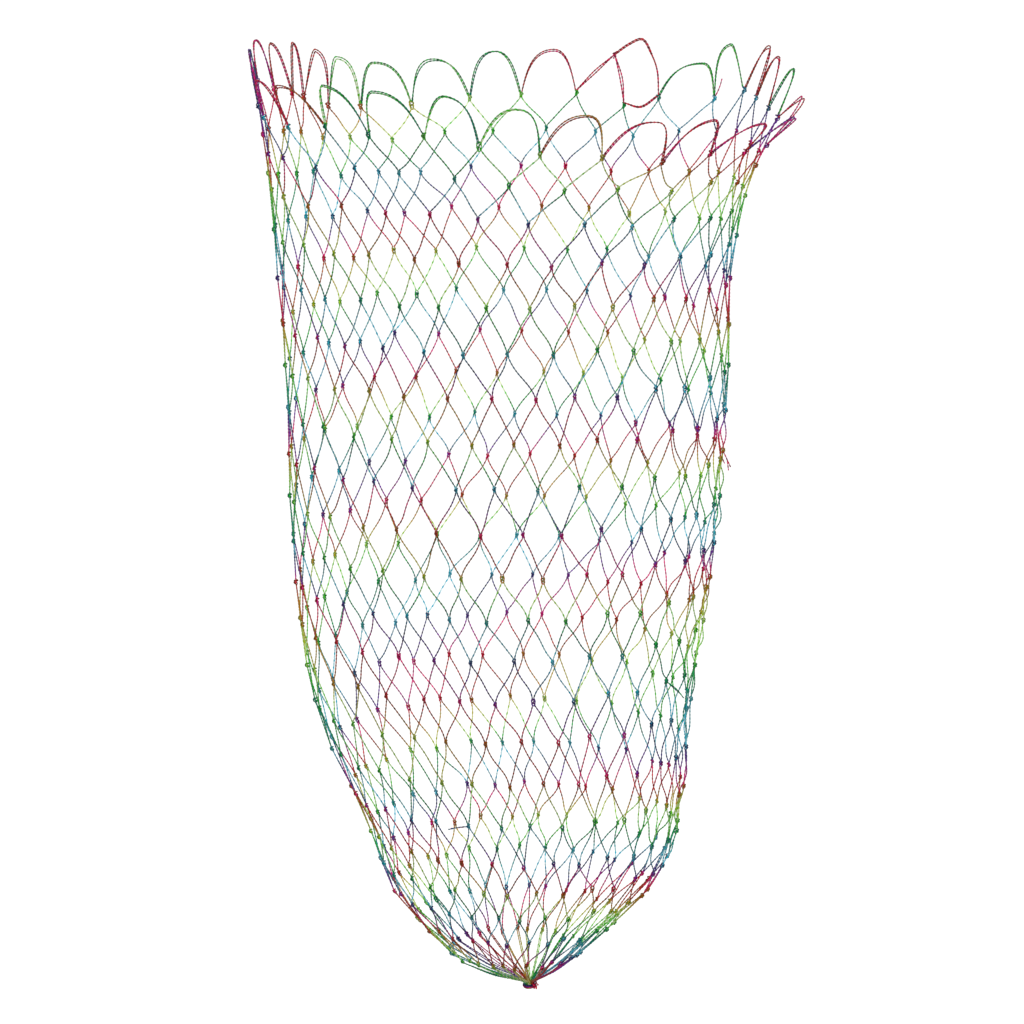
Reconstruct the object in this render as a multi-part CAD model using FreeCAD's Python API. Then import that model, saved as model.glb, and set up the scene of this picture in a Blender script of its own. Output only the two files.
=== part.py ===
import FreeCAD, Part
import os
from math import cos, pi, sin, sqrt, radians, tan

# A knotted diamond-mesh net bag, hanging mouth up from the loops round its mouth.
# Millimetres. +Z is up, -Y is the front, and the origin is the middle of the hoop
# line, the ring on which the loops' crowns hang.

# Driving dimensions
MESHES = 30            # meshes round the bag, and loops round its mouth
ROWS = 22              # rows of meshes from the mouth down to the gather
TWINE = 0.8            # diameter of the twine
KNOT = 3.0             # width across a tied knot
HOOP_RISE = 22.0       # height of the hoop line above the rim knots
LOOP_TWINE = 53.0      # length of twine in a rim loop, taken as two straight legs
LOOP_BEND = 5.0        # radius of a wide loop's crown
NARROW_BEND = 0.6      # and of a narrow one's, as a share of half the width between its feet
LOOP_APART = 0.5       # distance of each strand of a doubled loop from the loop's middle
LOOP_FOOT = 1.0        # distance along the rim from a loop's foot to its knot's middle
LOOP_FEET_UP = 2.2     # room between a loop's feet and its knots, for the loop to tip
LOOPS_PER_GROUP = 3    # neighbouring loops that tip as one group
HANG_ROWS = 4          # rows over which the mouth's uneven hang dies out
GAP = 0.25             # clearance between a knot's surface and a bar's end
BAR_SPREAD = 0.55      # sideways distance from a knot's middle to a bar's end
WANDER = 1.1           # how far a knot strays from its even place
GATHER_RADIUS = 5.0    # radius of the gather's turns, at their middle
GATHER_WIDTH = 2.4     # half the thickness of the gather's turns
GATHER_KNOT = 2.0      # radius of the knot that closes the gather
GATHER_KNOT_DROP = 1.5 # and how far its middle lies under the turns' middle
CLOSE_FRONT = 3.0      # degrees by which the meshes crowd towards the front
CLOSE_FACES = 1.7      # degrees by which they crowd towards both the front and the back
FLARE = 15.0           # degrees by which the loops lean outward
FLARE_FRONT = 12.0     # degrees more at the front, and less at the back
FLARE_RIGHT = 26.0     # degrees more where the loops at the right splay out
RIGHT_BEFORE = 20.0    # degrees by which the middle of those loops is in front of the right
RIGHT_FADE = 6         # the higher this is, the fewer loops splay out
FLARE_STRAY = 7.0      # how far a loop at either side strays from its lean, in degrees
FAN = 0.26             # how far a crown is off its loop's middle, as a share of its width
FAN_STRAY = 0.06       # and how far it strays from that
# How fast the stray values run from row to row and from place to place
ANGLE_STRAY = (2.3, 4.1)
HEIGHT_STRAY = (3.1, 2.7)
LOOP_STRAY = (5.1, 5.3)

# Hanging shape: row, depth below the rim knots, radius, shift to the right, twist in degrees
STATIONS = [
    (0, 0.0, 121.0, 0.0, 1.0),
    (2, 35.0, 113.5, -1.5, 1.0),
    (6, 119.5, 109.0, 1.5, 1.5),
    (10, 206.0, 105.0, 0.0, 6.0),
    (14, 288.5, 94.0, -0.5, 12.0),
    (17, 354.0, 77.5, 10.0, 11.0),
    (19, 385.0, 64.5, 8.5, 12.0),
    (21, 419.5, 33.0, 6.0, 12.0),
    (22, 438.5, 9.5, 12.5, 12.0),
]
DEPTH, RADIUS, SHIFT, TWIST = 1, 2, 3, 4

# How the mouth hangs, round it from the front to the right: the angle where an even knot
# would be, then how far the real one is turned in degrees, raised, and drawn outward
MOUTH = [
    (6, 2, -4, 0),
    (30, 7, -9, 0),
    (54, 14, -9, 3),
    (66, 12, -10, 8),
    (78, 12, 2, 12),
    (90, 10, 4, 11),
    (102, 6, 7, 11),
    (114, 1, 11, 11),
    (126, -5, 4, 2),
    (138, 1, 4, 0),
    (150, 0, -3, 0),
    (162, 0, 4, 0),
    (186, 3, 0, 0),
    (210, 7, -3, 0),
    (222, 6, 1, 0),
    (234, 2, 5, 0),
    (246, -5, 9, 0),
    (258, -6, 12, -1),
    (270, -6, 18, 0),
    (282, -6, 9, -2),
    (294, -6, 4, -1),
    (318, -1, 5, 0),
    (342, 0, 4, 0),
]
TURN, RISE, OUT = 1, 2, 3

STEP_ROUND = 2 * pi / MESHES


def slope(n, column):
    """Slope of a station's value by row, taken from its neighbours."""
    before = STATIONS[max(n - 1, 0)]
    after = STATIONS[min(n + 1, len(STATIONS) - 1)]
    return (after[column] - before[column]) / (after[0] - before[0])


def profile(row, column):
    """A station's value at any row, on a smooth curve through the stations."""
    n = max(i for i in range(len(STATIONS) - 1) if STATIONS[i][0] <= row)
    start, end = STATIONS[n], STATIONS[n + 1]
    span = end[0] - start[0]
    t = (row - start[0]) / span
    rise = end[column] - start[column]
    from_start = slope(n, column) * span
    from_end = slope(n + 1, column) * span
    bend = t * (1 - t) * ((1 - t) * (from_start - rise) - t * (from_end - rise))
    return start[column] + t * rise + bend


def even_angle(row, place):
    """Angle of an evenly spaced knot from the front, growing to the right, in degrees."""
    stagger = 0.5 if row % 2 == 0 else 0.0
    return (place % MESHES + stagger) * 360 / MESHES


def mouth_hang(row, place, column):
    """The part of the mouth's uneven hang that reaches a row's knot."""
    angle = even_angle(row, place)
    beyond = [(MOUTH[-1][0] - 360, *MOUTH[-1][1:])] + MOUTH + [(MOUTH[0][0] + 360, *MOUTH[0][1:])]
    n = max(i for i in range(len(beyond) - 1) if beyond[i][0] <= angle)
    start, end = beyond[n], beyond[n + 1]
    t = (angle - start[0]) / (end[0] - start[0])
    value = start[column] + t * (end[column] - start[column])
    return value * max(0.0, 1 - row / HANG_ROWS)


def azimuth(row, place):
    """Angle of a knot from the front, as it hangs, in radians."""
    even = radians(even_angle(row, place) + profile(row, TWIST) * min(1.0, row / HANG_ROWS))
    crowded = CLOSE_FRONT * sin(even) + CLOSE_FACES * sin(2 * even)
    turned = mouth_hang(row, place, TURN) - crowded * min(1.0, row / HANG_ROWS)
    stray = WANDER * sin(ANGLE_STRAY[0] * row + ANGLE_STRAY[1] * (place % MESHES))
    return even + radians(turned) + stray / profile(row, RADIUS)


def reach(row, place):
    return profile(row, RADIUS) + mouth_hang(row, place, OUT)


def height(row, place):
    stray = WANDER * sin(HEIGHT_STRAY[0] * row + HEIGHT_STRAY[1] * (place % MESHES))
    return -HOOP_RISE - profile(row, DEPTH) + mouth_hang(row, place, RISE) + stray


def outward(angle):
    return FreeCAD.Vector(sin(angle), -cos(angle), 0)


def sideways(angle):
    return FreeCAD.Vector(cos(angle), sin(angle), 0)


def knot_centre(row, place):
    middle = FreeCAD.Vector(profile(row, SHIFT), 0, height(row, place))
    return middle + outward(azimuth(row, place)) * reach(row, place)


def rod(start, end, width=TWINE):
    along = end - start
    return Part.makeCylinder(width / 2, along.Length, start, along)


def knots(row):
    return [Part.makeSphere(KNOT / 2, knot_centre(row, place)) for place in range(MESHES)]


def bar(row, place, lower_place, side):
    """One bar of a mesh, from a knot down to its neighbour in the next row, clear of both."""
    start = knot_centre(row, place)
    end = knot_centre(row + 1, lower_place)
    start += sideways(azimuth(row, place)) * side * BAR_SPREAD
    end -= sideways(azimuth(row + 1, lower_place)) * side * BAR_SPREAD
    along = (end - start).normalize()
    clear = along * (KNOT / 2 + GAP)
    return rod(start + clear, end - clear)


def bars(row):
    """The bars between a row of knots and the next: a zigzag of two bars from every knot."""
    left = 0 if row % 2 == 0 else -1
    zigzag = []
    for place in range(MESHES):
        zigzag.append(bar(row, place, place + left, -1))
        zigzag.append(bar(row, place, place + left + 1, 1))
    return zigzag


def gather_middle():
    return FreeCAD.Vector(profile(ROWS, SHIFT), 0, -HOOP_RISE - profile(ROWS, DEPTH))


def closing_strands():
    """Two strands from every knot of the last row, evenly spaced where they reach the gather."""
    row = ROWS - 1
    strands = []
    for place in range(MESHES):
        angle = azimuth(row, place)
        even = radians(even_angle(row, place) + profile(row, TWIST))
        for side in (-1, 1):
            start = knot_centre(row, place) + sideways(angle) * side * BAR_SPREAD
            end = gather_middle() + outward(even + side * STEP_ROUND / 4) * profile(ROWS, RADIUS)
            along = (end - start).normalize()
            strands.append(rod(start + along * (KNOT / 2 + GAP), end))
    return strands


def hairpin(foot, peak, other_foot, bend, width):
    """Twine up one straight leg, round a bend under the peak, and down the other leg."""
    up = (foot - peak).normalize()
    down = (other_foot - peak).normalize()
    half = up.getAngle(down) / 2
    tangent = bend / tan(half)
    bisector = (up + down).normalize()
    crown = peak + bisector * (bend / sin(half) - bend)
    turn_in = peak + up * tangent
    turn_out = peak + down * tangent
    path = Part.Wire([
        Part.LineSegment(foot, turn_in).toShape(),
        Part.Arc(turn_in, crown, turn_out).toShape(),
        Part.LineSegment(turn_out, other_foot).toShape(),
    ])
    ring = Part.Wire(Part.Circle(foot, (turn_in - foot).normalize(), width / 2).toShape())
    return path.makePipeShell([ring], True, True)


def loop_lean(place):
    """How a rim loop leans: outward in radians, and along the rim as a share of its width."""
    angle = middle_angle(place)
    rightness = max(0.0, sin(angle + radians(RIGHT_BEFORE))) ** RIGHT_FADE
    flare = FLARE + FLARE_FRONT * cos(angle) + FLARE_RIGHT * rightness
    flare += FLARE_STRAY * abs(sin(angle)) * sin(LOOP_STRAY[0] * place)
    fan = FAN * sin(2 * angle) + FAN_STRAY * sin(LOOP_STRAY[1] * place)
    return radians(flare), fan


def middle_angle(place):
    """Angle half way between a rim knot and the next."""
    first, second = azimuth(0, place), azimuth(0, place + 1)
    return first + ((second - first) % (2 * pi)) / 2


def rim_loop(place):
    """One rim loop, of doubled twine, from a rim knot up over the hoop line to the next knot."""
    first = knot_centre(0, place)
    second = knot_centre(0, place + 1)
    flare, fan = loop_lean(place)
    chord = (second - first).normalize()
    lean = outward(middle_angle(place)) * sin(flare) + FreeCAD.Vector(0, 0, cos(flare))
    lean = (lean - chord * lean.dot(chord)).normalize()
    feet_up = KNOT / 2 + LOOP_FEET_UP
    foot = first + chord * LOOP_FOOT + lean * feet_up
    other_foot = second - chord * LOOP_FOOT + lean * feet_up
    half = (second - first).Length / 2
    rise = sqrt((LOOP_TWINE / 2) ** 2 - half ** 2)
    bend = min(LOOP_BEND, NARROW_BEND * half)
    middle = (first + second) * 0.5 + chord * fan * half * 2
    over_crown = bend * (LOOP_TWINE / 2 / half - 1)
    peak = middle + lean * (rise + over_crown)
    across = chord.cross(lean).normalize() * LOOP_APART
    return [
        hairpin(foot + across, peak + across, other_foot + across, bend, TWINE),
        hairpin(foot - across, peak - across, other_foot - across, bend, TWINE),
    ]


def loop_group(group):
    loops = []
    for place in range(group * LOOPS_PER_GROUP - 1, (group + 1) * LOOPS_PER_GROUP - 1):
        loops += rim_loop(place)
    return loops


def tail(row, place, turn, rise, length):
    """A cut end of twine, turned and raised by angles in degrees from a knot's outer side."""
    angle = azimuth(row, place)
    away = outward(angle + radians(turn)) * cos(radians(rise))
    direction = away + FreeCAD.Vector(0, 0, sin(radians(rise)))
    start = knot_centre(row, place) + outward(angle) * (KNOT / 2 + GAP + TWINE / 2)
    start += sideways(angle) * sin(radians(turn)) * TWINE * 2
    return rod(start, start + direction * length)


def gather_tie():
    """The turns that draw the last meshes together, and the knot that closes them."""
    up = FreeCAD.Vector(0, 0, 1)
    turns = Part.makeTorus(GATHER_RADIUS, GATHER_WIDTH, gather_middle(), up)
    knot = Part.makeSphere(GATHER_KNOT, gather_middle() - up * GATHER_KNOT_DROP)
    return [turns, knot]


parts = {}
for row in range(ROWS):
    parts["knots_row_%02d" % row] = knots(row)
for row in range(ROWS - 1):
    parts["twine_row_%02d" % (row + 1)] = bars(row)
parts["twine_row_%02d" % ROWS] = closing_strands()
for group in range(MESHES // LOOPS_PER_GROUP):
    parts["rim_loops_%02d" % (group + 1)] = loop_group(group)
parts["gather_tie"] = gather_tie()
# cut ends of twine, left where the netting was finished or mended
parts["cut_tail_rim"] = [tail(row=0, place=10, turn=0, rise=78, length=10)]
parts["cut_tails_row_08"] = [
    tail(row=8, place=7, turn=25, rise=-70, length=9),
    tail(row=8, place=7, turn=-35, rise=-60, length=11),
]
parts["cut_tails_row_13"] = [
    tail(row=13, place=4, turn=35, rise=35, length=7),
    tail(row=13, place=4, turn=-35, rise=-55, length=8),
]
parts["cut_tail_row_16"] = [tail(row=16, place=27, turn=-60, rise=0, length=8)]

os.makedirs("parts", exist_ok=True)
for name, solids in parts.items():
    shape = solids[0] if len(solids) == 1 else Part.makeCompound(solids)
    shape.exportStep("parts/%s.step" % name)

print(len(parts), "nodes,", sum(len(s) for s in parts.values()), "solids")
box = Part.makeCompound([s for solids in parts.values() for s in solids]).BoundBox
print("box", box)
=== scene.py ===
from math import cos, pi, radians, sin

import bpy
import numpy as np
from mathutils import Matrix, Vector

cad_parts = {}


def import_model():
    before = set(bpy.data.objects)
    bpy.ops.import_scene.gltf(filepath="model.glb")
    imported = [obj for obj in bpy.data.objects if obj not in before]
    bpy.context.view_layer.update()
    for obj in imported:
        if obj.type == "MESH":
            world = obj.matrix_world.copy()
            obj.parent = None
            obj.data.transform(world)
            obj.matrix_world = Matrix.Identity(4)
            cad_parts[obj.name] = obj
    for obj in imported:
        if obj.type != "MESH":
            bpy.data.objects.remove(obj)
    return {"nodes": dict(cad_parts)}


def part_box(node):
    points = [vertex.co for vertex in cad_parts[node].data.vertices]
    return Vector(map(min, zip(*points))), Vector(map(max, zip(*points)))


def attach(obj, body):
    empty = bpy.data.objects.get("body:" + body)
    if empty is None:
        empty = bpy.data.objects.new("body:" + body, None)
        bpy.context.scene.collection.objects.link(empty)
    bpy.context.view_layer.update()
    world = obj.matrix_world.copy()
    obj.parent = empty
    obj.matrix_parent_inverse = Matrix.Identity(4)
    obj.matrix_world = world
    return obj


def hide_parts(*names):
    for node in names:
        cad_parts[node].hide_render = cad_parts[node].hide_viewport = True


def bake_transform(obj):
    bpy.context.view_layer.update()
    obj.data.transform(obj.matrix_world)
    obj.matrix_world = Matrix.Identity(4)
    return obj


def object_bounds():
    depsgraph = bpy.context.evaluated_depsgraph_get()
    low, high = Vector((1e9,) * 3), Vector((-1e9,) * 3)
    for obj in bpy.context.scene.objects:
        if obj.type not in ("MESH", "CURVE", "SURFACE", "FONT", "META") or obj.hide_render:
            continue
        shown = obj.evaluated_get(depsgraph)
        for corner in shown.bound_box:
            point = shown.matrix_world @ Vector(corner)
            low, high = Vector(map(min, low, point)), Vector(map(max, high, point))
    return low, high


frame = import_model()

# A knotted net bag of self-striping two-ply twine. Metres, in the CAD's frame.
# Every knot stands where the CAD has it, and the twine runs from knot to knot.

cad_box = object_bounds()

MESHES = 30
ROWS = 22
MM = 0.001
TWINE = 0.8 * MM
PLY_PITCH = 3.8 * MM                 # length of one turn of the two plies
LOOP_TWINE = 53.0 * MM               # twine in a rim loop, taken as two straight legs
LOOPS_PER_GROUP = 3
PULLED = 11                          # place of the first of two loops pulled out of shape
HANG_ROWS = 4                        # rows over which the mouth's uneven hang dies out
BUNCHED_ROWS = 7, 17                 # first and last row with bars bunched up at the right
SWAY_SHARE = 0.33                    # share of a bar's length that goes in its upper piece
GATHER_NECK = 1.9 * MM               # radius of the drawn-in strands inside the gather's turns
STEP_ROUND = 2 * pi / MESHES
RING = 8                             # points round a strand
BAR_RINGS = 41      # rings along one bar
KNOT_RINGS = 30     # rings along a strand of a knot
LOOP_RINGS = 105    # rings along a rim loop


# ---------------------------------------------------------------- the frame's knots

def middle_of(node):
    low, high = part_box(node)
    return np.array([(a + b) / 2 for a, b in zip(low, high)])


def azimuths(row, points):
    """Angle of each point from the front, growing to the right, about its row's middle."""
    # the mouth hangs unevenly, but about the frame's own axis
    across = middle_of("knots_row_%02d" % row)[0] if row > HANG_ROWS else 0.0
    return np.arctan2(points[..., 0] - across, -points[..., 1])


def knot_centres(row):
    """The middles of a CAD row's knots, in their order round the bag."""
    mesh = frame["nodes"]["knots_row_%02d" % row].data
    points = np.empty(len(mesh.vertices) * 3)
    mesh.vertices.foreach_get("co", points)
    points = points.reshape(-1, 3)
    angles = azimuths(row, points)
    order = np.argsort(angles)
    gaps = np.diff(np.append(angles[order], angles[order[0]] + 2 * pi))
    ends = np.sort(np.argsort(gaps)[-MESHES:])
    order = np.roll(order, -(ends[0] + 1))
    clusters = np.split(order, ends[1:] - ends[0])
    return np.array([(points[c].min(axis=0) + points[c].max(axis=0)) / 2 for c in clusters])


def knot_rows():
    """All the rows, each starting at the knot that hangs beside the first knot of the row above."""
    rows = []
    start = 0.0
    for row in range(ROWS):
        centres = knot_centres(row)
        beyond = (azimuths(row, centres) - start + pi) % (2 * pi) - pi
        order = np.argsort(beyond)
        first_right = np.searchsorted(beyond[order], 0)
        # even rows start to the right of the row above, and odd rows to its left
        first = first_right if row % 2 == 0 else first_right - 1
        centres = centres[np.roll(order, -first)]
        start = azimuths(row, centres[0])
        rows.append(centres)
    return np.array(rows)


KNOTS = knot_rows()
AZIMUTH = np.array([azimuths(row, KNOTS[row]) for row in range(ROWS)])
GATHER = middle_of("gather_tie")


def unit(vectors):
    return vectors / np.linalg.norm(vectors, axis=-1, keepdims=True)


def left_of(row):
    """For each knot of a row, the place of its left neighbour in the rows above and below."""
    return (np.arange(MESHES) - row % 2) % MESHES


def between(row, other):
    """The middle between each knot's two neighbours in another row."""
    left = left_of(row)
    return (KNOTS[other][left] + KNOTS[other][(left + 1) % MESHES]) / 2


def knot_axes(row):
    """Each knot's sideways, outward and upward directions, along the hanging mesh."""
    above = between(row, row - 1) if row > 0 else KNOTS[row]
    below = between(row, row + 1) if row < ROWS - 1 else KNOTS[row]
    up = unit(above - below)
    across = np.stack([np.cos(AZIMUTH[row]), np.sin(AZIMUTH[row]), np.zeros(MESHES)], axis=1)
    out = unit(np.cross(across, up))
    return np.cross(up, out), out, up


# Uneven numbers that make neighbouring seeds' values look unrelated
SCATTER_WEIGHTS = 12.9898, 78.233, 37.719
SCATTER_STRETCH = 43758.5453
DRIFT_SEED, FOLD_SEED, SHADE_SEED = 40, 60, 7
APART_SEED, TURN_SEED, START_SEED = 11, 13, 17


def scatter(*seeds):
    """A steady stray value from -1 to 1 for each combination of whole-number seeds."""
    total = 0.0
    for weight, seed in zip(SCATTER_WEIGHTS, seeds):
        total = total + weight * np.asarray(seed, float)
    return 2 * ((np.sin(total) * SCATTER_STRETCH) % 1.0) - 1


# ---------------------------------------------------------------- colour along the twine

# How many colour cycles the twine has gone through at the front of each row of knots. In a
# cycle 0 is crimson, 0.1 gold, 0.3 lime, 0.45 green, 0.6 teal, 0.7 blue and 0.9 magenta.
CYCLES = [
    (0, 0.32), (1, 0.47), (2, 0.85), (3, 1.00), (4, 1.35), (5, 1.60), (6, 1.98), (7, 2.15), (8, 2.62),
    (9, 2.99), (10, 3.13), (11, 3.58), (12, 3.75), (13, 3.87), (14, 4.08), (15, 4.12), (16, 4.57),
    (17, 4.90), (18, 5.20), (19, 5.50), (20, 5.78), (21, 6.12), (22, 6.35),
]
# The same for the rim's twine, loop by loop from the front round to the right
RIM_CYCLES = [
    1.10, 1.00, 0.98, 0.97, 0.87, 0.95, 0.47, 1.02, 1.00, 0.45, 0.46, 1.00, 0.98, 1.00, 0.47, 0.46,
    0.46, 0.38, 1.00, 1.02, 1.00, 0.96, 0.84, 0.88, 0.97, 1.05, 1.46, 1.47, 1.46, 1.40,
]


def stripe(row, azimuth):
    """Where a piece of twine is in the colour cycle: a round of meshes uses two whole cycles."""
    rows, cycles = zip(*CYCLES)
    return np.interp(row, rows, cycles) - np.asarray(azimuth) / pi


# ---------------------------------------------------------------- strands

def along(paths):
    """Distance along each path, at each of its points."""
    steps = np.linalg.norm(np.diff(paths, axis=1), axis=2)
    return np.concatenate([np.zeros((len(paths), 1)), np.cumsum(steps, axis=1)], axis=1)


ASKEW = 0.31, 0.17, 0.93             # a direction that no strand starts along
# A strand's half width, as a share of half the twine's: its mean, and how far the plies swell
LOBE_MEAN, LOBE_SWELL = 0.80, 0.24
TURN_STRAY = 3                       # radians by which the plies' turn strays at a strand's start


def strand_rings(paths, width=TWINE, start_turn=0.0, pitch=PLY_PITCH):
    """Rings of a two-ply strand round every point of every path: paths is (count, points, 3)."""
    tangents = unit(np.gradient(paths, axis=1))
    normal = np.cross(tangents[:, 0], ASKEW)
    normals = [unit(normal)]
    for i in range(1, paths.shape[1]):
        carried = normals[-1] - tangents[:, i] * (normals[-1] * tangents[:, i]).sum(1, keepdims=True)
        normals.append(unit(carried))
    normals = np.stack(normals, axis=1)
    others = np.cross(tangents, normals)
    turn = 2 * pi * along(paths) / pitch + np.asarray(start_turn).reshape(-1, 1)
    around = np.arange(RING) * 2 * pi / RING
    # two plies side by side: wide across both, narrow in the groove between them
    lobes = width / 2 * (LOBE_MEAN + LOBE_SWELL * np.cos(2 * around))
    angle = turn[:, :, None] + around
    offset = (np.cos(angle)[..., None] * normals[:, :, None]
              + np.sin(angle)[..., None] * others[:, :, None]) * lobes[None, None, :, None]
    return paths[:, :, None] + offset


class Weave:
    """Collects strands into one mesh, with each vertex's stripe and shade and each face's ply."""

    def __init__(self):
        self.points, self.faces, self.stripes, self.shades, self.plies = [], [], [], [], []
        self.count = 0

    def add(self, rings, stripes, shade=0.0, contrast=1.0, capped=False):
        """rings is (count, points, RING, 3), and stripes is (count, points) or broadcasts to it.

        shade and contrast are one for all the strands, or one for each. The lower the contrast, the
        more the second ply is like the first.
        """
        count, length = rings.shape[:2]
        index = np.arange(count * length * RING).reshape(count, length, RING) + self.count
        turned = np.roll(index, -1, axis=2)
        quads = np.stack([index[:, :-1], turned[:, :-1], turned[:, 1:], index[:, 1:]], axis=-1)
        strength = np.asarray(contrast, float).reshape(-1, 1, 1)
        ply = np.broadcast_to(np.arange(RING) // (RING // 2) * strength, quads.shape[:3])
        self.points.append(rings.reshape(-1, 3))
        self.faces.append(quads.reshape(-1, 4))
        self.plies.append(ply.reshape(-1))
        wide = np.broadcast_to(np.asarray(stripes, float), (count, length))
        self.stripes.append(np.repeat(wide.reshape(-1), RING))
        shades = np.broadcast_to(np.asarray(shade, float).reshape(-1, 1), (count, length))
        self.shades.append(np.repeat(shades.reshape(-1), RING))
        self.count += rings.shape[0] * length * RING
        if capped:
            for end in (index[:, 0, ::-1], index[:, -1]):
                # three flat quads close the strand's eight-sided end
                closing = np.concatenate([end[:, [0, 1, 2, 3]], end[:, [0, 3, 4, 7]], end[:, [4, 5, 6, 7]]])
                self.faces.append(closing)
                self.plies.append(np.zeros(len(closing)))

    def piece(self, name, material, slot):
        mesh = bpy.data.meshes.new(name)
        points = np.concatenate(self.points)
        faces = np.concatenate(self.faces)
        mesh.vertices.add(len(points))
        mesh.vertices.foreach_set("co", points.reshape(-1))
        mesh.loops.add(len(faces) * 4)
        mesh.loops.foreach_set("vertex_index", faces.reshape(-1).astype(np.int32))
        mesh.polygons.add(len(faces))
        mesh.polygons.foreach_set("loop_start", np.arange(0, len(faces) * 4, 4, dtype=np.int32))
        mesh.polygons.foreach_set("use_smooth", np.ones(len(faces), bool))
        mesh.update(calc_edges=True)
        for label, domain, values in (
            ("stripe", "POINT", self.stripes),
            ("shade", "POINT", self.shades),
            ("ply", "FACE", self.plies),
        ):
            attribute = mesh.attributes.new(label, "FLOAT", domain)
            attribute.data.foreach_set("value", np.concatenate(values).astype(np.float32))
        mesh.materials.append(material)
        piece = bpy.data.objects.new(name, mesh)
        bpy.context.scene.collection.objects.link(piece)
        return piece


# ---------------------------------------------------------------- material

# Colours of the two plies round the cycle: alike where the twine is red or dark, and one of
# them pale where it is lime or blue, so that it looks dashed there
FIRST_PLY = [
    (0.00, (0.560, 0.002, 0.018)), (0.09, (0.380, 0.040, 0.004)), (0.17, (0.450, 0.230, 0.002)),
    (0.27, (0.290, 0.520, 0.004)), (0.36, (0.090, 0.520, 0.006)), (0.45, (0.006, 0.420, 0.024)),
    (0.56, (0.001, 0.230, 0.160)), (0.67, (0.002, 0.400, 0.560)), (0.77, (0.006, 0.060, 0.160)),
    (0.86, (0.150, 0.006, 0.310)), (0.94, (0.720, 0.002, 0.180)),
]
SECOND_PLY = [
    (0.00, (0.180, 0.006, 0.014)), (0.12, (0.120, 0.040, 0.006)), (0.20, (0.500, 0.480, 0.120)),
    (0.28, (0.760, 0.820, 0.540)), (0.37, (0.620, 0.780, 0.440)), (0.45, (0.008, 0.130, 0.020)),
    (0.56, (0.006, 0.080, 0.060)), (0.67, (0.560, 0.800, 0.840)), (0.77, (0.020, 0.045, 0.065)),
    (0.86, (0.060, 0.012, 0.090)), (0.94, (0.330, 0.008, 0.090)),
]


STRIPE_DRIFT = 0.20                  # how far the stripes wander in the cycle, from blotch to blotch
WHOLE_CYCLES = 8.0                   # keeps the cycle above 0 before its fraction is taken
SHADED = 0.20, 0.20, 0.20            # what the darkest twine's colour is multiplied by
GRAIN_MEAN, GRAIN_DEPTH = 0.75, 0.5  # how light the fibre grain leaves the colour
GRAIN_HEIGHT = 0.05 * MM


def ramp(nodes, stops, x, y):
    node = nodes.new("ShaderNodeValToRGB")
    node.location = (x, y)
    elements = node.color_ramp.elements
    while len(elements) < len(stops) + 1:
        elements.new(0.5)
    for element, (position, colour) in zip(elements, stops + [(1.0, stops[0][1])]):
        element.position = position
        element.color = (*colour, 1)
    return node


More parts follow.
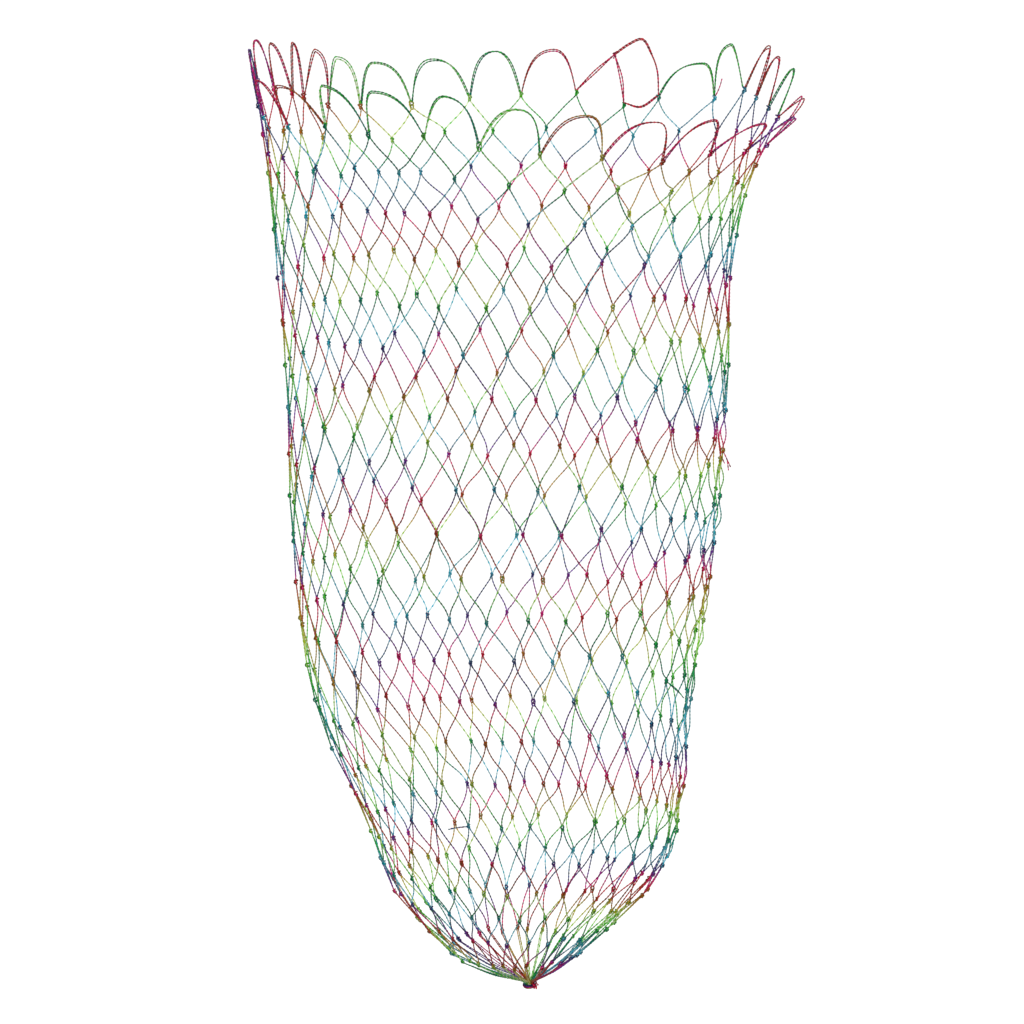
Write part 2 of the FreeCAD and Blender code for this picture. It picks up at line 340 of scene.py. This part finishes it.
def twine_material():
    """Twisted nylon: each ply takes its own colour from the stripe, with a fine fibre grain."""
    material = bpy.data.materials.new("striped_twine")
    material.use_nodes = True
    nodes, links = material.node_tree.nodes, material.node_tree.links
    nodes.clear()
    output = nodes.new("ShaderNodeOutputMaterial")
    shader = nodes.new("ShaderNodeBsdfPrincipled")
    shader.inputs["Roughness"].default_value = 0.55
    shader.inputs["Specular IOR Level"].default_value = 0.15
    links.new(shader.outputs["BSDF"], output.inputs["Surface"])

    def attribute(name):
        node = nodes.new("ShaderNodeAttribute")
        node.attribute_name = name
        return node.outputs["Fac"]

    def math(operation, first, second=None):
        node = nodes.new("ShaderNodeMath")
        node.operation = operation
        for socket, value in zip(node.inputs, (first, second)):
            if value is None:
                continue
            if isinstance(value, (int, float)):
                socket.default_value = value
            else:
                links.new(value, socket)
        return node.outputs["Value"]

    def mix(blend, factor, first, second):
        node = nodes.new("ShaderNodeMix")
        node.data_type = "RGBA"
        node.blend_type = blend
        if isinstance(factor, (int, float)):
            node.inputs["Factor"].default_value = factor
        else:
            links.new(factor, node.inputs["Factor"])
        for socket, value in ((node.inputs[6], first), (node.inputs[7], second)):
            if isinstance(value, tuple):
                socket.default_value = (*value, 1)
            else:
                links.new(value, socket)
        return node.outputs[2]

    place = nodes.new("ShaderNodeTexCoord").outputs["Object"]
    blotch = nodes.new("ShaderNodeTexNoise")
    blotch.inputs["Scale"].default_value = 55.0
    links.new(place, blotch.inputs["Vector"])
    fibre = nodes.new("ShaderNodeTexNoise")
    fibre.inputs["Scale"].default_value = 2600.0
    fibre.inputs["Detail"].default_value = 3.0
    links.new(place, fibre.inputs["Vector"])
    drift = math("MULTIPLY", math("SUBTRACT", blotch.outputs["Fac"], 0.5), STRIPE_DRIFT)
    cycle = math("FRACT", math("ADD", math("ADD", attribute("stripe"), drift), WHOLE_CYCLES))
    first = ramp(nodes, FIRST_PLY, -600, 300)
    second = ramp(nodes, SECOND_PLY, -600, 0)
    links.new(cycle, first.inputs["Fac"])
    links.new(cycle, second.inputs["Fac"])
    twisted = mix("MIX", attribute("ply"), first.outputs["Color"], second.outputs["Color"])
    # the shade attribute darkens the colour towards SHADED: partly the twine's own tone, which strays from
    # strand to strand, and partly painted shade, darker at the front
    colour = mix("MULTIPLY", attribute("shade"), twisted, SHADED)
    grain = math("ADD", math("MULTIPLY", fibre.outputs["Fac"], GRAIN_DEPTH), GRAIN_MEAN)
    grey = nodes.new("ShaderNodeCombineColor")
    for socket in grey.inputs[:3]:
        links.new(grain, socket)
    links.new(mix("MULTIPLY", 1.0, colour, grey.outputs["Color"]), shader.inputs["Base Color"])
    bump = nodes.new("ShaderNodeBump")
    bump.inputs["Strength"].default_value = 0.25
    bump.inputs["Distance"].default_value = GRAIN_HEIGHT
    links.new(fibre.outputs["Fac"], bump.inputs["Height"])
    links.new(bump.outputs["Normal"], shader.inputs["Normal"])
    return material


TWINE_LOOK = twine_material()


# ---------------------------------------------------------------- knots

# A sheet bend in millimetres: sideways, outward, up. The bight of the mesh above comes
# down from its two bars and turns back up; the working twine rises from the lower left,
# through the bight, round behind both its legs, under itself, and leaves lower right.
BIGHT = [
    (-0.34, 0.00, 1.70), (-0.40, 0.05, 1.00), (-0.44, 0.10, 0.20), (-0.32, 0.15, -0.60),
    (0.00, 0.20, -0.90), (0.32, 0.15, -0.60), (0.44, 0.10, 0.20), (0.40, 0.05, 1.00), (0.34, 0.00, 1.70),
]
WRAP = [
    (-0.42, 0.00, -1.70), (-0.38, -0.35, -1.20), (-0.15, -0.50, -0.60), (0.00, 0.10, -0.05),
    (0.10, 0.75, 0.40), (0.45, 0.70, 0.85), (0.72, 0.00, 1.00), (0.45, -0.65, 0.85),
    (0.00, -0.80, 0.65), (-0.48, -0.62, 0.50), (-0.74, 0.05, 0.25), (-0.42, 0.72, 0.00),
    (0.05, 0.92, -0.25), (0.42, 0.55, -0.70), (0.46, 0.15, -1.20), (0.42, 0.00, -1.70),
]
UPPER_END = 0.34 * MM, 1.70 * MM
LOWER_END = 0.42 * MM, 1.70 * MM
RIM_KNOT = 1.4                       # the rim's knots are tied in doubled twine
LOOSE = 0.75                         # knots looser than this show their bight as an open ring
RING_OPENS = 4                       # how fast that ring grows with looseness
KNOT_STRAY = 0.10                    # how much the knots' sizes stray
KNOT_CYCLE_STRAY = 0.03              # and their places in the colour cycle
KNOT_CONTRAST = 0.25
# painted shade: the knots at the front are made darker than those at the back
KNOT_PAINTED_FRONT_SHADE = 0.15                   # how much darker the knots are at the front
# A knot's strands: shape, how many rows further on their colour is, and shade
KNOT_STRANDS = (BIGHT, -0.1, 0.1), (WRAP, 0.15, 0.7)


def smooth(points, count):
    """count points along a smooth curve through the given ones; points is (..., n, 3)."""
    points = np.asarray(points, float)
    n = points.shape[-2]
    padded = np.concatenate([2 * points[..., :1, :] - points[..., 1:2, :], points,
                             2 * points[..., -1:, :] - points[..., -2:-1, :]], axis=-2)
    at = np.linspace(0, n - 1, count)
    first = np.minimum(at.astype(int), n - 2)
    t = (at - first)[:, None]
    p0, p1, p2, p3 = (padded[..., first + i, :] for i in range(4))
    return 0.5 * (2 * p1 + (p2 - p0) * t + (2 * p0 - 5 * p1 + 4 * p2 - p3) * t ** 2
                  + (3 * p1 - p0 - 3 * p2 + p3) * t ** 3)


def in_place(row, shape, size):
    """A knot's strand, given in millimetres in its own directions, at every knot of a row."""
    side, out, up = knot_axes(row)
    local = np.asarray(shape)[None] * MM * np.asarray(size).reshape(-1, 1, 1)
    return (KNOTS[row][:, None] + local[..., 0:1] * side[:, None]
            + local[..., 1:2] * out[:, None] + local[..., 2:3] * up[:, None])


def knot_piece(row):
    weave = Weave()
    places = np.arange(MESHES)
    looseness = scatter(row, places)
    bulk = (1 + KNOT_STRAY * looseness) * (RIM_KNOT if row == 0 else 1)
    open_ring = 1 + RING_OPENS * np.maximum(0, looseness - LOOSE)
    ends = np.linspace(0, 1, KNOT_RINGS)
    # a knot keeps its full size at its middle, and its ends stay on the bars
    middle = (4 * ends * (1 - ends))[None, :, None]
    for shape, later, shade in KNOT_STRANDS:
        curve = smooth(shape, KNOT_RINGS)
        plain = in_place(row, curve, np.ones(MESHES))
        big = in_place(row, curve, bulk * (open_ring if shape is BIGHT else 1))
        paths = plain + (big - plain) * middle
        stripes = (stripe(row + later, AZIMUTH[row]) + KNOT_CYCLE_STRAY * looseness)[:, None]
        # painted shade: the knots grow darker towards the front
        shade = np.clip(shade + KNOT_PAINTED_FRONT_SHADE * np.cos(AZIMUTH[row]), 0, 1)
        rings = strand_rings(paths, start_turn=TURN_STRAY * looseness)
        weave.add(rings, stripes, shade, KNOT_CONTRAST)
    piece = weave.piece("tied_knots_%02d" % row, TWINE_LOOK, "knot_twine")
    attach(piece, "knots_%02d" % row if row else "rim")
    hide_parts("knots_row_%02d" % row)


# ---------------------------------------------------------------- bars

# How a bar hangs, in millimetres, each with how much more where it is slack or bunched up
DROP, SLACK_DROP = 0.5, 1.6
DROP_STRAY, BUNCHED_DROP = 0.35, 1.0
DRIFT, BUNCHED_DRIFT = 0.5, 1.3
BUNCHED_FOLD = 2.2
UPRIGHT = 0.9                        # how far its lower end comes in between its bight's legs
SLACK_UPRIGHT = 0.6                  # and the share of that which a slack bar lacks
# A bar's shade: its mean, how much darker at the front as painted shade, and how far it strays at random as
# the twine's own tone
BAR_SHADE, BAR_PAINTED_FRONT_SHADE, BAR_STRAY = 0.32, 0.28, 0.22
SIDE_PLAIN = 0.6                     # how much contrast the plies lose at the sides
SIDE_FADE = 4                        # the higher this is, the narrower the right and left sides are


def bunched(row):
    """How far the bars below a row are bunched up, from 0 to 1: the bag's right side hangs in folds."""
    return np.clip(np.sin(AZIMUTH[row]), 0, 1) ** SIDE_FADE * (BUNCHED_ROWS[0] <= row <= BUNCHED_ROWS[1])


def bar_paths(row, side_sign):
    """The bars from a row's knots down to their lower left (-1) or lower right (1) neighbours."""
    side, out, up = knot_axes(row)
    other = (left_of(row) + (1 if side_sign > 0 else 0)) % MESHES
    next_side, _, next_up = knot_axes(row + 1)
    start = KNOTS[row] + side * side_sign * LOWER_END[0] - up * LOWER_END[1]
    end = KNOTS[row + 1][other] - next_side[other] * side_sign * UPPER_END[0] + next_up[other] * UPPER_END[1]
    places = np.arange(MESHES)
    # the bars that run down and away from the bag's middle hang slack, and the others are drawn
    slack = np.maximum(0, side_sign * np.sin(2 * AZIMUTH[row]))[:, None, None]
    stray = scatter(row, places, side_sign)[:, None, None]
    t = np.linspace(0, 1, BAR_RINGS)[None, :, None]
    arc = 4 * t * (1 - t)
    # the upper end drops away first, and the lower end comes in upright between its bight's legs
    bunch = bunched(row)[:, None, None]
    drop = DROP + SLACK_DROP * slack + (DROP_STRAY + BUNCHED_DROP * bunch) * stray
    hang = up[:, None] * drop * MM * arc
    upright = next_side[other][:, None] * side_sign * UPRIGHT * MM * (1 - SLACK_UPRIGHT * slack)
    upright = upright * t * np.sin(pi * t)
    drift_stray = scatter(row + DRIFT_SEED, places, side_sign)[:, None, None]
    drift = (DRIFT + BUNCHED_DRIFT * bunch) * MM * drift_stray
    drift = drift * side[:, None] * np.sin(2 * pi * t)
    fold_stray = scatter(row + FOLD_SEED, places, side_sign)[:, None, None]
    fold = BUNCHED_FOLD * bunch * MM * fold_stray
    drift = drift + fold * out[:, None] * np.sin(pi * t) ** 2
    return start[:, None] + (end - start)[:, None] * t - hang + upright + drift


# The closing strands, in millimetres where they aren't shares. In the gather's neck they lie in
# layers, the innermost at this share of its radius and the outermost this much further out.
NECK_LAYERS, LAYER_STEP = 3, 7
INNERMOST, OUTERMOST = 0.45, 0.5
MOUTH_WIDER, MOUTH_UP, NECK_DOWN = 2.2, 2.6, 1.5
CLOSING_HANG, CLOSING_STRAY = 1.0, 0.6


def closing_paths(side_sign):
    """The strands from the last knots, drawn in from all sides to the neck of the gather."""
    row = ROWS - 1
    side, _, up = knot_axes(row)
    start = KNOTS[row] + side * side_sign * LOWER_END[0] - up * LOWER_END[1]
    azimuth = AZIMUTH[row] + side_sign * STEP_ROUND / 4
    places = np.arange(MESHES)
    away = np.stack([np.sin(azimuth), -np.cos(azimuth), np.zeros(MESHES)], axis=1)
    layer = (places * LAYER_STEP + side_sign) % NECK_LAYERS
    neck = GATHER_NECK * (INNERMOST + OUTERMOST * layer / (NECK_LAYERS - 1))[:, None]
    mouth = GATHER + away * (neck + MOUTH_WIDER * MM) + np.array([0, 0, MOUTH_UP * MM])
    foot = GATHER + away * neck - np.array([0, 0, NECK_DOWN * MM])
    hang = np.array([0, 0, CLOSING_HANG * MM]) * (1 + CLOSING_STRAY * scatter(places, side_sign))[:, None]
    points = np.stack([start, (start + mouth) / 2 - hang, mouth, foot], axis=1)
    return smooth(points, BAR_RINGS)


def bent_piece(strands, part, name, node):
    """Some of a row's strands, over part of their length, as one piece in place of the CAD's part."""
    weave = Weave()
    for rings, stripes, shade, contrast in strands:
        weave.add(rings[:, part], stripes[:, part], shade, contrast)
    piece = weave.piece(name, TWINE_LOOK, "mesh_twine")
    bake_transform(piece)
    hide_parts(node)


def twine_row(row):
    """The twine below a row of knots, made as an upper and a lower piece."""
    number = row + 1
    closing = row == ROWS - 1
    places = np.arange(MESHES)
    t = np.linspace(0, 1, BAR_RINGS)[None]
    strands = []
    for side_sign in (-1, 1):
        paths = closing_paths(side_sign) if closing else bar_paths(row, side_sign)
        rings = strand_rings(paths, start_turn=TURN_STRAY * scatter(row, places, side_sign))
        azimuth = AZIMUTH[row][:, None] + side_sign * STEP_ROUND / 2 * t
        # the colour moves on by half a row along a bar
        stripes = stripe(row + 0.5 + 0.5 * (t - 0.5), azimuth)
        # the bars at the front are darker than those at the back, which is painted shade, and plainer
        # towards the sides
        shade = BAR_SHADE + BAR_PAINTED_FRONT_SHADE * np.cos(AZIMUTH[row])
        shade = shade + BAR_STRAY * scatter(row + SHADE_SEED, places, side_sign)
        contrast = 1 - SIDE_PLAIN * np.sin(AZIMUTH[row]) ** SIDE_FADE
        strands.append((rings, stripes, np.clip(shade, 0, 1), contrast))
    node = "twine_row_%02d" % number
    half = int(BAR_RINGS * SWAY_SHARE)
    # where the mouth hangs unevenly, every knot's own two bars are pieces of their own
    sectors = [[place] for place in places] if row < HANG_ROWS else [list(places)]
    for sector in sectors:
        ending = "_%02d" % (sector[0] + 1) if len(sectors) > 1 else ""
        mine = [[values[sector] for values in strand] for strand in strands]
        upper = "bars_%02d_upper%s" % (number, ending)
        lower = "bars_%02d_lower%s" % (number, ending)
        bent_piece(mine, slice(0, half + 1), upper, node)
        bent_piece(mine, slice(half, None), lower, node)


# ---------------------------------------------------------------- rim loops

# How the loops lean, as the CAD has it. Outward, in degrees: all round, more at the front and
# less at the back, and more where the loops at the right splay out.
FLARE, FLARE_FRONT, FLARE_RIGHT = 15, 12, 26
RIGHT_BEFORE = 20                    # degrees from the right to the middle of those loops
RIGHT_FADE = 6                       # the higher this is, the fewer loops splay out
FLARE_STRAY = 7                      # how far a loop at either side strays from its lean
# How far a crown is off its loop's middle, and strays from there, as shares of the width
FAN, FAN_STRAY = 0.26, 0.06
FLARE_RUN, FAN_RUN = 5.1, 5.3        # how fast the two strays run from loop to loop

FOOT_IN = 0.5                        # millimetres from a rim knot's middle to a loop's foot
FOOT_UP = 1.4                        # and how far up the loop that foot is
# A leg's curve leaves its foot by these shares of its rise and run, and reaches the crown level
LEG_RISE, LEG_RUN, CROWN_RUN = 0.55, 0.18, 0.62
LOOP_STRANDS = -0.02, 0.03           # where a loop's two strands are in the cycle, from its own place
LOOP_CYCLE_RUN = 0.10                # and how far the cycle runs on along the loop


def loop_shape(place):
    """Foot, crown and other foot of a rim loop, and the directions along it and up it."""
    first, second = KNOTS[0][place % MESHES], KNOTS[0][(place + 1) % MESHES]
    angle = AZIMUTH[0][place % MESHES]
    angle += ((AZIMUTH[0][(place + 1) % MESHES] - angle) % (2 * pi)) / 2
    # the loops at the right splay far outward
    rightness = max(0.0, sin(angle + radians(RIGHT_BEFORE))) ** RIGHT_FADE
    flare = FLARE + FLARE_FRONT * cos(angle) + FLARE_RIGHT * rightness
    flare = radians(flare + FLARE_STRAY * abs(sin(angle)) * sin(FLARE_RUN * place))
    fan = FAN * sin(2 * angle) + FAN_STRAY * sin(FAN_RUN * place)
    chord = unit(second - first)
    half = np.linalg.norm(second - first) / 2
    rise = np.sqrt((LOOP_TWINE / 2) ** 2 - half ** 2)
    lean = np.array([sin(angle) * sin(flare), -cos(angle) * sin(flare), cos(flare)])
    lean = unit(lean - chord * np.dot(lean, chord))
    crown = (first + second) / 2 + chord * fan * half * 2 + lean * rise
    return first, crown, second, chord, lean


def bezier(a, b, c, d, count):
    t = np.linspace(0, 1, count)[:, None]
    return a * (1 - t) ** 3 + 3 * b * t * (1 - t) ** 2 + 3 * c * t ** 2 * (1 - t) + d * t ** 3


def loop_path(place):
    """A bell-shaped arch: steep on the side its crown leans to, slanting on the other."""
    first, crown, second, chord, lean = loop_shape(place)
    foot = first + chord * FOOT_IN * MM + lean * FOOT_UP * MM
    other_foot = second - chord * FOOT_IN * MM + lean * FOOT_UP * MM
    rise = np.dot(crown - foot, lean)
    before = np.dot(crown - foot, chord)
    after = np.dot(other_foot - crown, chord)
    rings = LOOP_RINGS // 2 + 1
    left = bezier(foot, foot + lean * rise * LEG_RISE + chord * before * LEG_RUN,
                  crown - chord * before * CROWN_RUN, crown, rings)
    right = bezier(crown, crown + chord * after * CROWN_RUN,
                   other_foot + lean * rise * LEG_RISE - chord * after * LEG_RUN, other_foot, rings)
    return np.concatenate([left, right[1:]]), np.cross(chord, lean)


# Two strands side by side: how far each is from their middle, as a share of the twine, and how
# much further where they part; then how far they turn about each other, in half turns
TOGETHER, PARTING = 0.45, 0.5
CROSSING, CROSSING_STRAY = 1.3, 0.5


def doubled(path, facing, place):
    """Two strands lying side by side along a path, crossing and parting a little."""
    t = np.linspace(0, 1, len(path))
    apart = TWINE * (TOGETHER + PARTING * max(0.0, scatter(place, APART_SEED)) * np.sin(pi * t) ** 2)
    turn = CROSSING * pi * t * (1 + CROSSING_STRAY * scatter(place, TURN_SEED)) + scatter(place, START_SEED)
    tangent = unit(np.gradient(path, axis=0))
    across = np.cross(tangent, facing)
    offset = (np.cos(turn)[:, None] * facing + np.sin(turn)[:, None] * across) * apart[:, None]
    return np.stack([path + offset, path - offset])


def loop_piece(place):
    """One rim loop of doubled twine, arching between two of the rim's knots."""
    path, facing = loop_path(place)
    strands = doubled(path, facing, place)
    t = np.linspace(-0.5, 0.5, strands.shape[1])
    stripes = RIM_CYCLES[place % MESHES] + LOOP_CYCLE_RUN * t + np.array(LOOP_STRANDS)[:, None]
    weave = Weave()
    weave.add(strand_rings(strands, start_turn=scatter(place, np.arange(2))), stripes, shade=0.35)
    finish_loop(weave, place)


def finish_loop(weave, place):
    """A rim loop's piece, whose feet sit at the rim's knots; the CAD's part for its group is hidden."""
    group = "loops_%02d" % ((place + 1) // LOOPS_PER_GROUP + 1)
    piece = weave.piece("doubled_loop_%02d" % (place + 2), TWINE_LOOK, "rim_twine")
    first, _, second, _, lean = loop_shape(place)
    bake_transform(piece)
    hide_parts("rim_" + group)


# Millimetres from the rim knot between the two pulled loops to their top and to their own knot
PULLED_TOP = 9.5, 4.0, 32.0
PULLED_KNOT = -4.7, 3.0, 24.5
PULLED_KNOT_SIZE = 1.3


def shifted(point, *millimetres):
    return point + np.array(millimetres) * MM


def pulled_loops():
    """Two loops at the back, pulled into one tall one whose twine is knotted beside its top."""
    right, middle, left = (shifted(KNOTS[0][PULLED + i], 0, 0, FOOT_UP) for i in range(3))
    top = shifted(middle, *PULLED_TOP)
    tied = shifted(middle, *PULLED_KNOT)
    tall = [right, shifted(right, -0.6, 1.5, 12), shifted(top, 4.5, 0, -7), top,
            shifted(top, -7, 0, -2.5), tied]
    low = [middle, shifted((middle + right) / 2, 0, 0, -4), right]
    to_middle = [tied, shifted((tied + middle) / 2, 1, 0, 0), middle]
    to_left = [tied, shifted((tied + left) / 2, 0, 0, 0.5), left]
    routes = {PULLED: [tall, low], PULLED + 1: [to_middle, to_left]}
    for place, paths in routes.items():
        weave = Weave()
        for path in paths:
            strands = doubled(smooth(path, LOOP_RINGS), np.array([0, 1, 0]), place)
            weave.add(strand_rings(strands), RIM_CYCLES[place], shade=0.25)
        if place > PULLED:
            knot = tied + smooth(WRAP, KNOT_RINGS) * MM * PULLED_KNOT_SIZE
            weave.add(strand_rings(knot[None]), RIM_CYCLES[place], shade=0.5, capped=True)
        finish_loop(weave, place)


# ---------------------------------------------------------------- cut ends and the gather

TAIL_RINGS = 14
TAIL_WIDTH = 0.9                     # a cut end's width, as a share of the twine's
TAIL_SHORTER = 0.16                  # share by which each further cut end is shorter than the last
TAIL_SPREAD = 1.6                    # millimetres by which its tip strays
TAIL_CURL = 0.6, -0.4, 0.5           # and by which the first one's middle is off its straight line

GATHER_TURNS, RINGS_A_TURN = 4, 22
COIL_OUT, COIL_BULGE = 0.45, 0.5     # millimetres from the neck to the coil, and more at its middle
COIL_TOP, COIL_HEIGHT = 1.0, 2.0
TIE_KNOT = 2.6, -1.6, 1.0            # millimetres from the gather's middle to its knot
TIE_KNOT_RINGS = 48
TIE_WRAPS = (1.4, 0.0), (1.1, -1.6)  # size and height of the two knots that make it up
# Where the coil starts in the colour cycle and how far it runs on, then the knot and its tails
COIL_CYCLE, COIL_CYCLE_RUN = 5.72, 0.3
TIE_CYCLE, TIE_TAIL_CYCLE = 5.0, 5.02


def cut_ends(node, body, cycles, breadth=1.0):
    """Cut ends of twine, a little curled, from a knot to the far side of the CAD's box for them."""
    low, high = (np.array(corner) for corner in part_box(node))
    row = 0 if "rim" in node else int(node[-2:])
    nearest = KNOTS[row][np.argmin(np.linalg.norm(KNOTS[row] - (low + high) / 2, axis=1))]
    far = np.where(np.abs(high - nearest) > np.abs(low - nearest), high, low)
    reach = (far - nearest) * np.array([breadth, breadth, 1])
    weave = Weave()
    for number, cycle in enumerate(cycles):
        spread = np.array([scatter(number, row), scatter(number, row + 5), 0])
        spread = spread * TAIL_SPREAD * MM * (number > 0)
        tip = nearest + reach * (1 - TAIL_SHORTER * number) + spread
        bend = (nearest + tip) / 2 + np.array(TAIL_CURL) * MM * (1 - number)
        path = smooth([nearest, bend, tip], TAIL_RINGS)[None]
        weave.add(strand_rings(path, width=TWINE * TAIL_WIDTH), cycle, shade=0.3, capped=True)
    piece = weave.piece(node.replace("cut", "frayed"), TWINE_LOOK, "cut_ends")
    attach(piece, body)
    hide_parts(node)


def gather_piece():
    """Turns of twine wound tight round the neck of the gathered meshes, knotted at one side."""
    weave = Weave()
    t = np.linspace(0, 1, GATHER_TURNS * RINGS_A_TURN)
    angle = 2 * pi * GATHER_TURNS * t
    radius = GATHER_NECK + (COIL_OUT + COIL_BULGE * np.sin(pi * t)) * MM
    drop = (COIL_TOP - COIL_HEIGHT * t) * MM
    coil = GATHER + np.stack([np.sin(angle) * radius, -np.cos(angle) * radius, drop], axis=1)
    weave.add(strand_rings(coil[None]), COIL_CYCLE + COIL_CYCLE_RUN * t[None], shade=0.5, capped=True)
    side = shifted(GATHER, *TIE_KNOT)
    for size, lift in TIE_WRAPS:
        knot = smooth(WRAP, TIE_KNOT_RINGS) * MM * size
        knot = np.stack([knot[:, 2], -knot[:, 1], knot[:, 0] + lift * MM], axis=1) + side
        weave.add(strand_rings(knot[None]), TIE_CYCLE, shade=0.0, capped=True)
    for lean in (-1, 1):
        tip = shifted(side, 1.6 + 0.5 * lean, -0.8, -1.6 + lean)
        path = smooth([side, shifted((side + tip) / 2, 0.8, 0, 0.4), tip], TAIL_RINGS)[None]
        weave.add(strand_rings(path), TIE_TAIL_CYCLE, shade=0.1, capped=True)
    piece = weave.piece("wound_gather", TWINE_LOOK, "gather_twine")
    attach(piece, "gather")
    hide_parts("gather_tie")


# ---------------------------------------------------------------- build

for row in range(ROWS):
    knot_piece(row)
    twine_row(row)
for place in range(-1, MESHES - 1):
    if place not in (PULLED, PULLED + 1):
        loop_piece(place)
pulled_loops()
cut_ends("cut_tail_rim", "rim", [0.97])
cut_ends("cut_tails_row_08", "knots_08", [0.0, 0.03, 0.97], breadth=0.4)
cut_ends("cut_tails_row_13", "knots_13", [0.5, 0.78])
cut_ends("cut_tail_row_16", "knots_16", [0.78, 0.0])
gather_piece()


# ---------------------------------------------------------------- stage

FLOOR_SIZE = 40
FLOOR_DROP = 0.25                    # metres from the bag's lowest point down to the floor
SKY = 1.15
# The camera, as a fit to the rows of knots gave it: millimetres, metres, and degrees down
SENSOR, LENS = 36, 138.33984375
EYE = 0.004, -1.916, 0.163
LOOKS_DOWN = 11.19
LIT_POINT = 0, 0, -0.2               # what the lamps are aimed at


def floor():
    """A wide white floor some way below the hanging bag."""
    bpy.ops.mesh.primitive_plane_add(size=FLOOR_SIZE, location=(0, 0, cad_box[0][2] - FLOOR_DROP))
    plane = bpy.context.object
    plane.name = "studio_floor"
    material = bpy.data.materials.new("white_paper")
    material.use_nodes = True
    nodes, links = material.node_tree.nodes, material.node_tree.links
    shader = nodes["Principled BSDF"]
    shader.inputs["Roughness"].default_value = 0.9
    speck = nodes.new("ShaderNodeTexNoise")
    speck.inputs["Scale"].default_value = 3.0
    tone = nodes.new("ShaderNodeValToRGB")
    tone.color_ramp.elements[0].color = (0.90, 0.90, 0.90, 1)
    tone.color_ramp.elements[1].color = (0.93, 0.93, 0.93, 1)
    links.new(speck.outputs["Fac"], tone.inputs["Fac"])
    links.new(tone.outputs["Color"], shader.inputs["Base Color"])
    plane.data.materials.append(material)


def softbox(name, place, size, power):
    data = bpy.data.lights.new(name, "AREA")
    data.size = size
    data.energy = power
    light = bpy.data.objects.new(name, data)
    light.location = place
    bpy.context.scene.collection.objects.link(light)
    aim = bpy.data.objects.new(name + "_aim", None)
    aim.location = LIT_POINT
    bpy.context.scene.collection.objects.link(aim)
    track = light.constraints.new("TRACK_TO")
    track.target = aim
    track.track_axis = "TRACK_NEGATIVE_Z"
    track.up_axis = "UP_Y"


def camera():
    """The camera stands in front of the bag, a little above it, and looks down along it."""
    data = bpy.data.cameras.new("photo_camera")
    data.sensor_width = SENSOR
    data.lens = LENS
    eye = bpy.data.objects.new("photo_camera", data)
    eye.location = EYE
    eye.rotation_euler = (radians(90 - LOOKS_DOWN), 0, 0)
    bpy.context.scene.collection.objects.link(eye)
    bpy.context.scene.camera = eye


def world():
    sky = bpy.data.worlds.new("studio")
    sky.use_nodes = True
    sky.node_tree.nodes["Background"].inputs["Color"].default_value = (1, 1, 1, 1)
    sky.node_tree.nodes["Background"].inputs["Strength"].default_value = SKY
    bpy.context.scene.world = sky


floor()
world()
softbox("key_light", place=(-1.2, -1.8, 1.4), size=1.6, power=12)
softbox("fill_light", place=(1.6, -1.2, 0.8), size=1.6, power=6)
camera()
bpy.context.scene.view_settings.view_transform = "Standard"
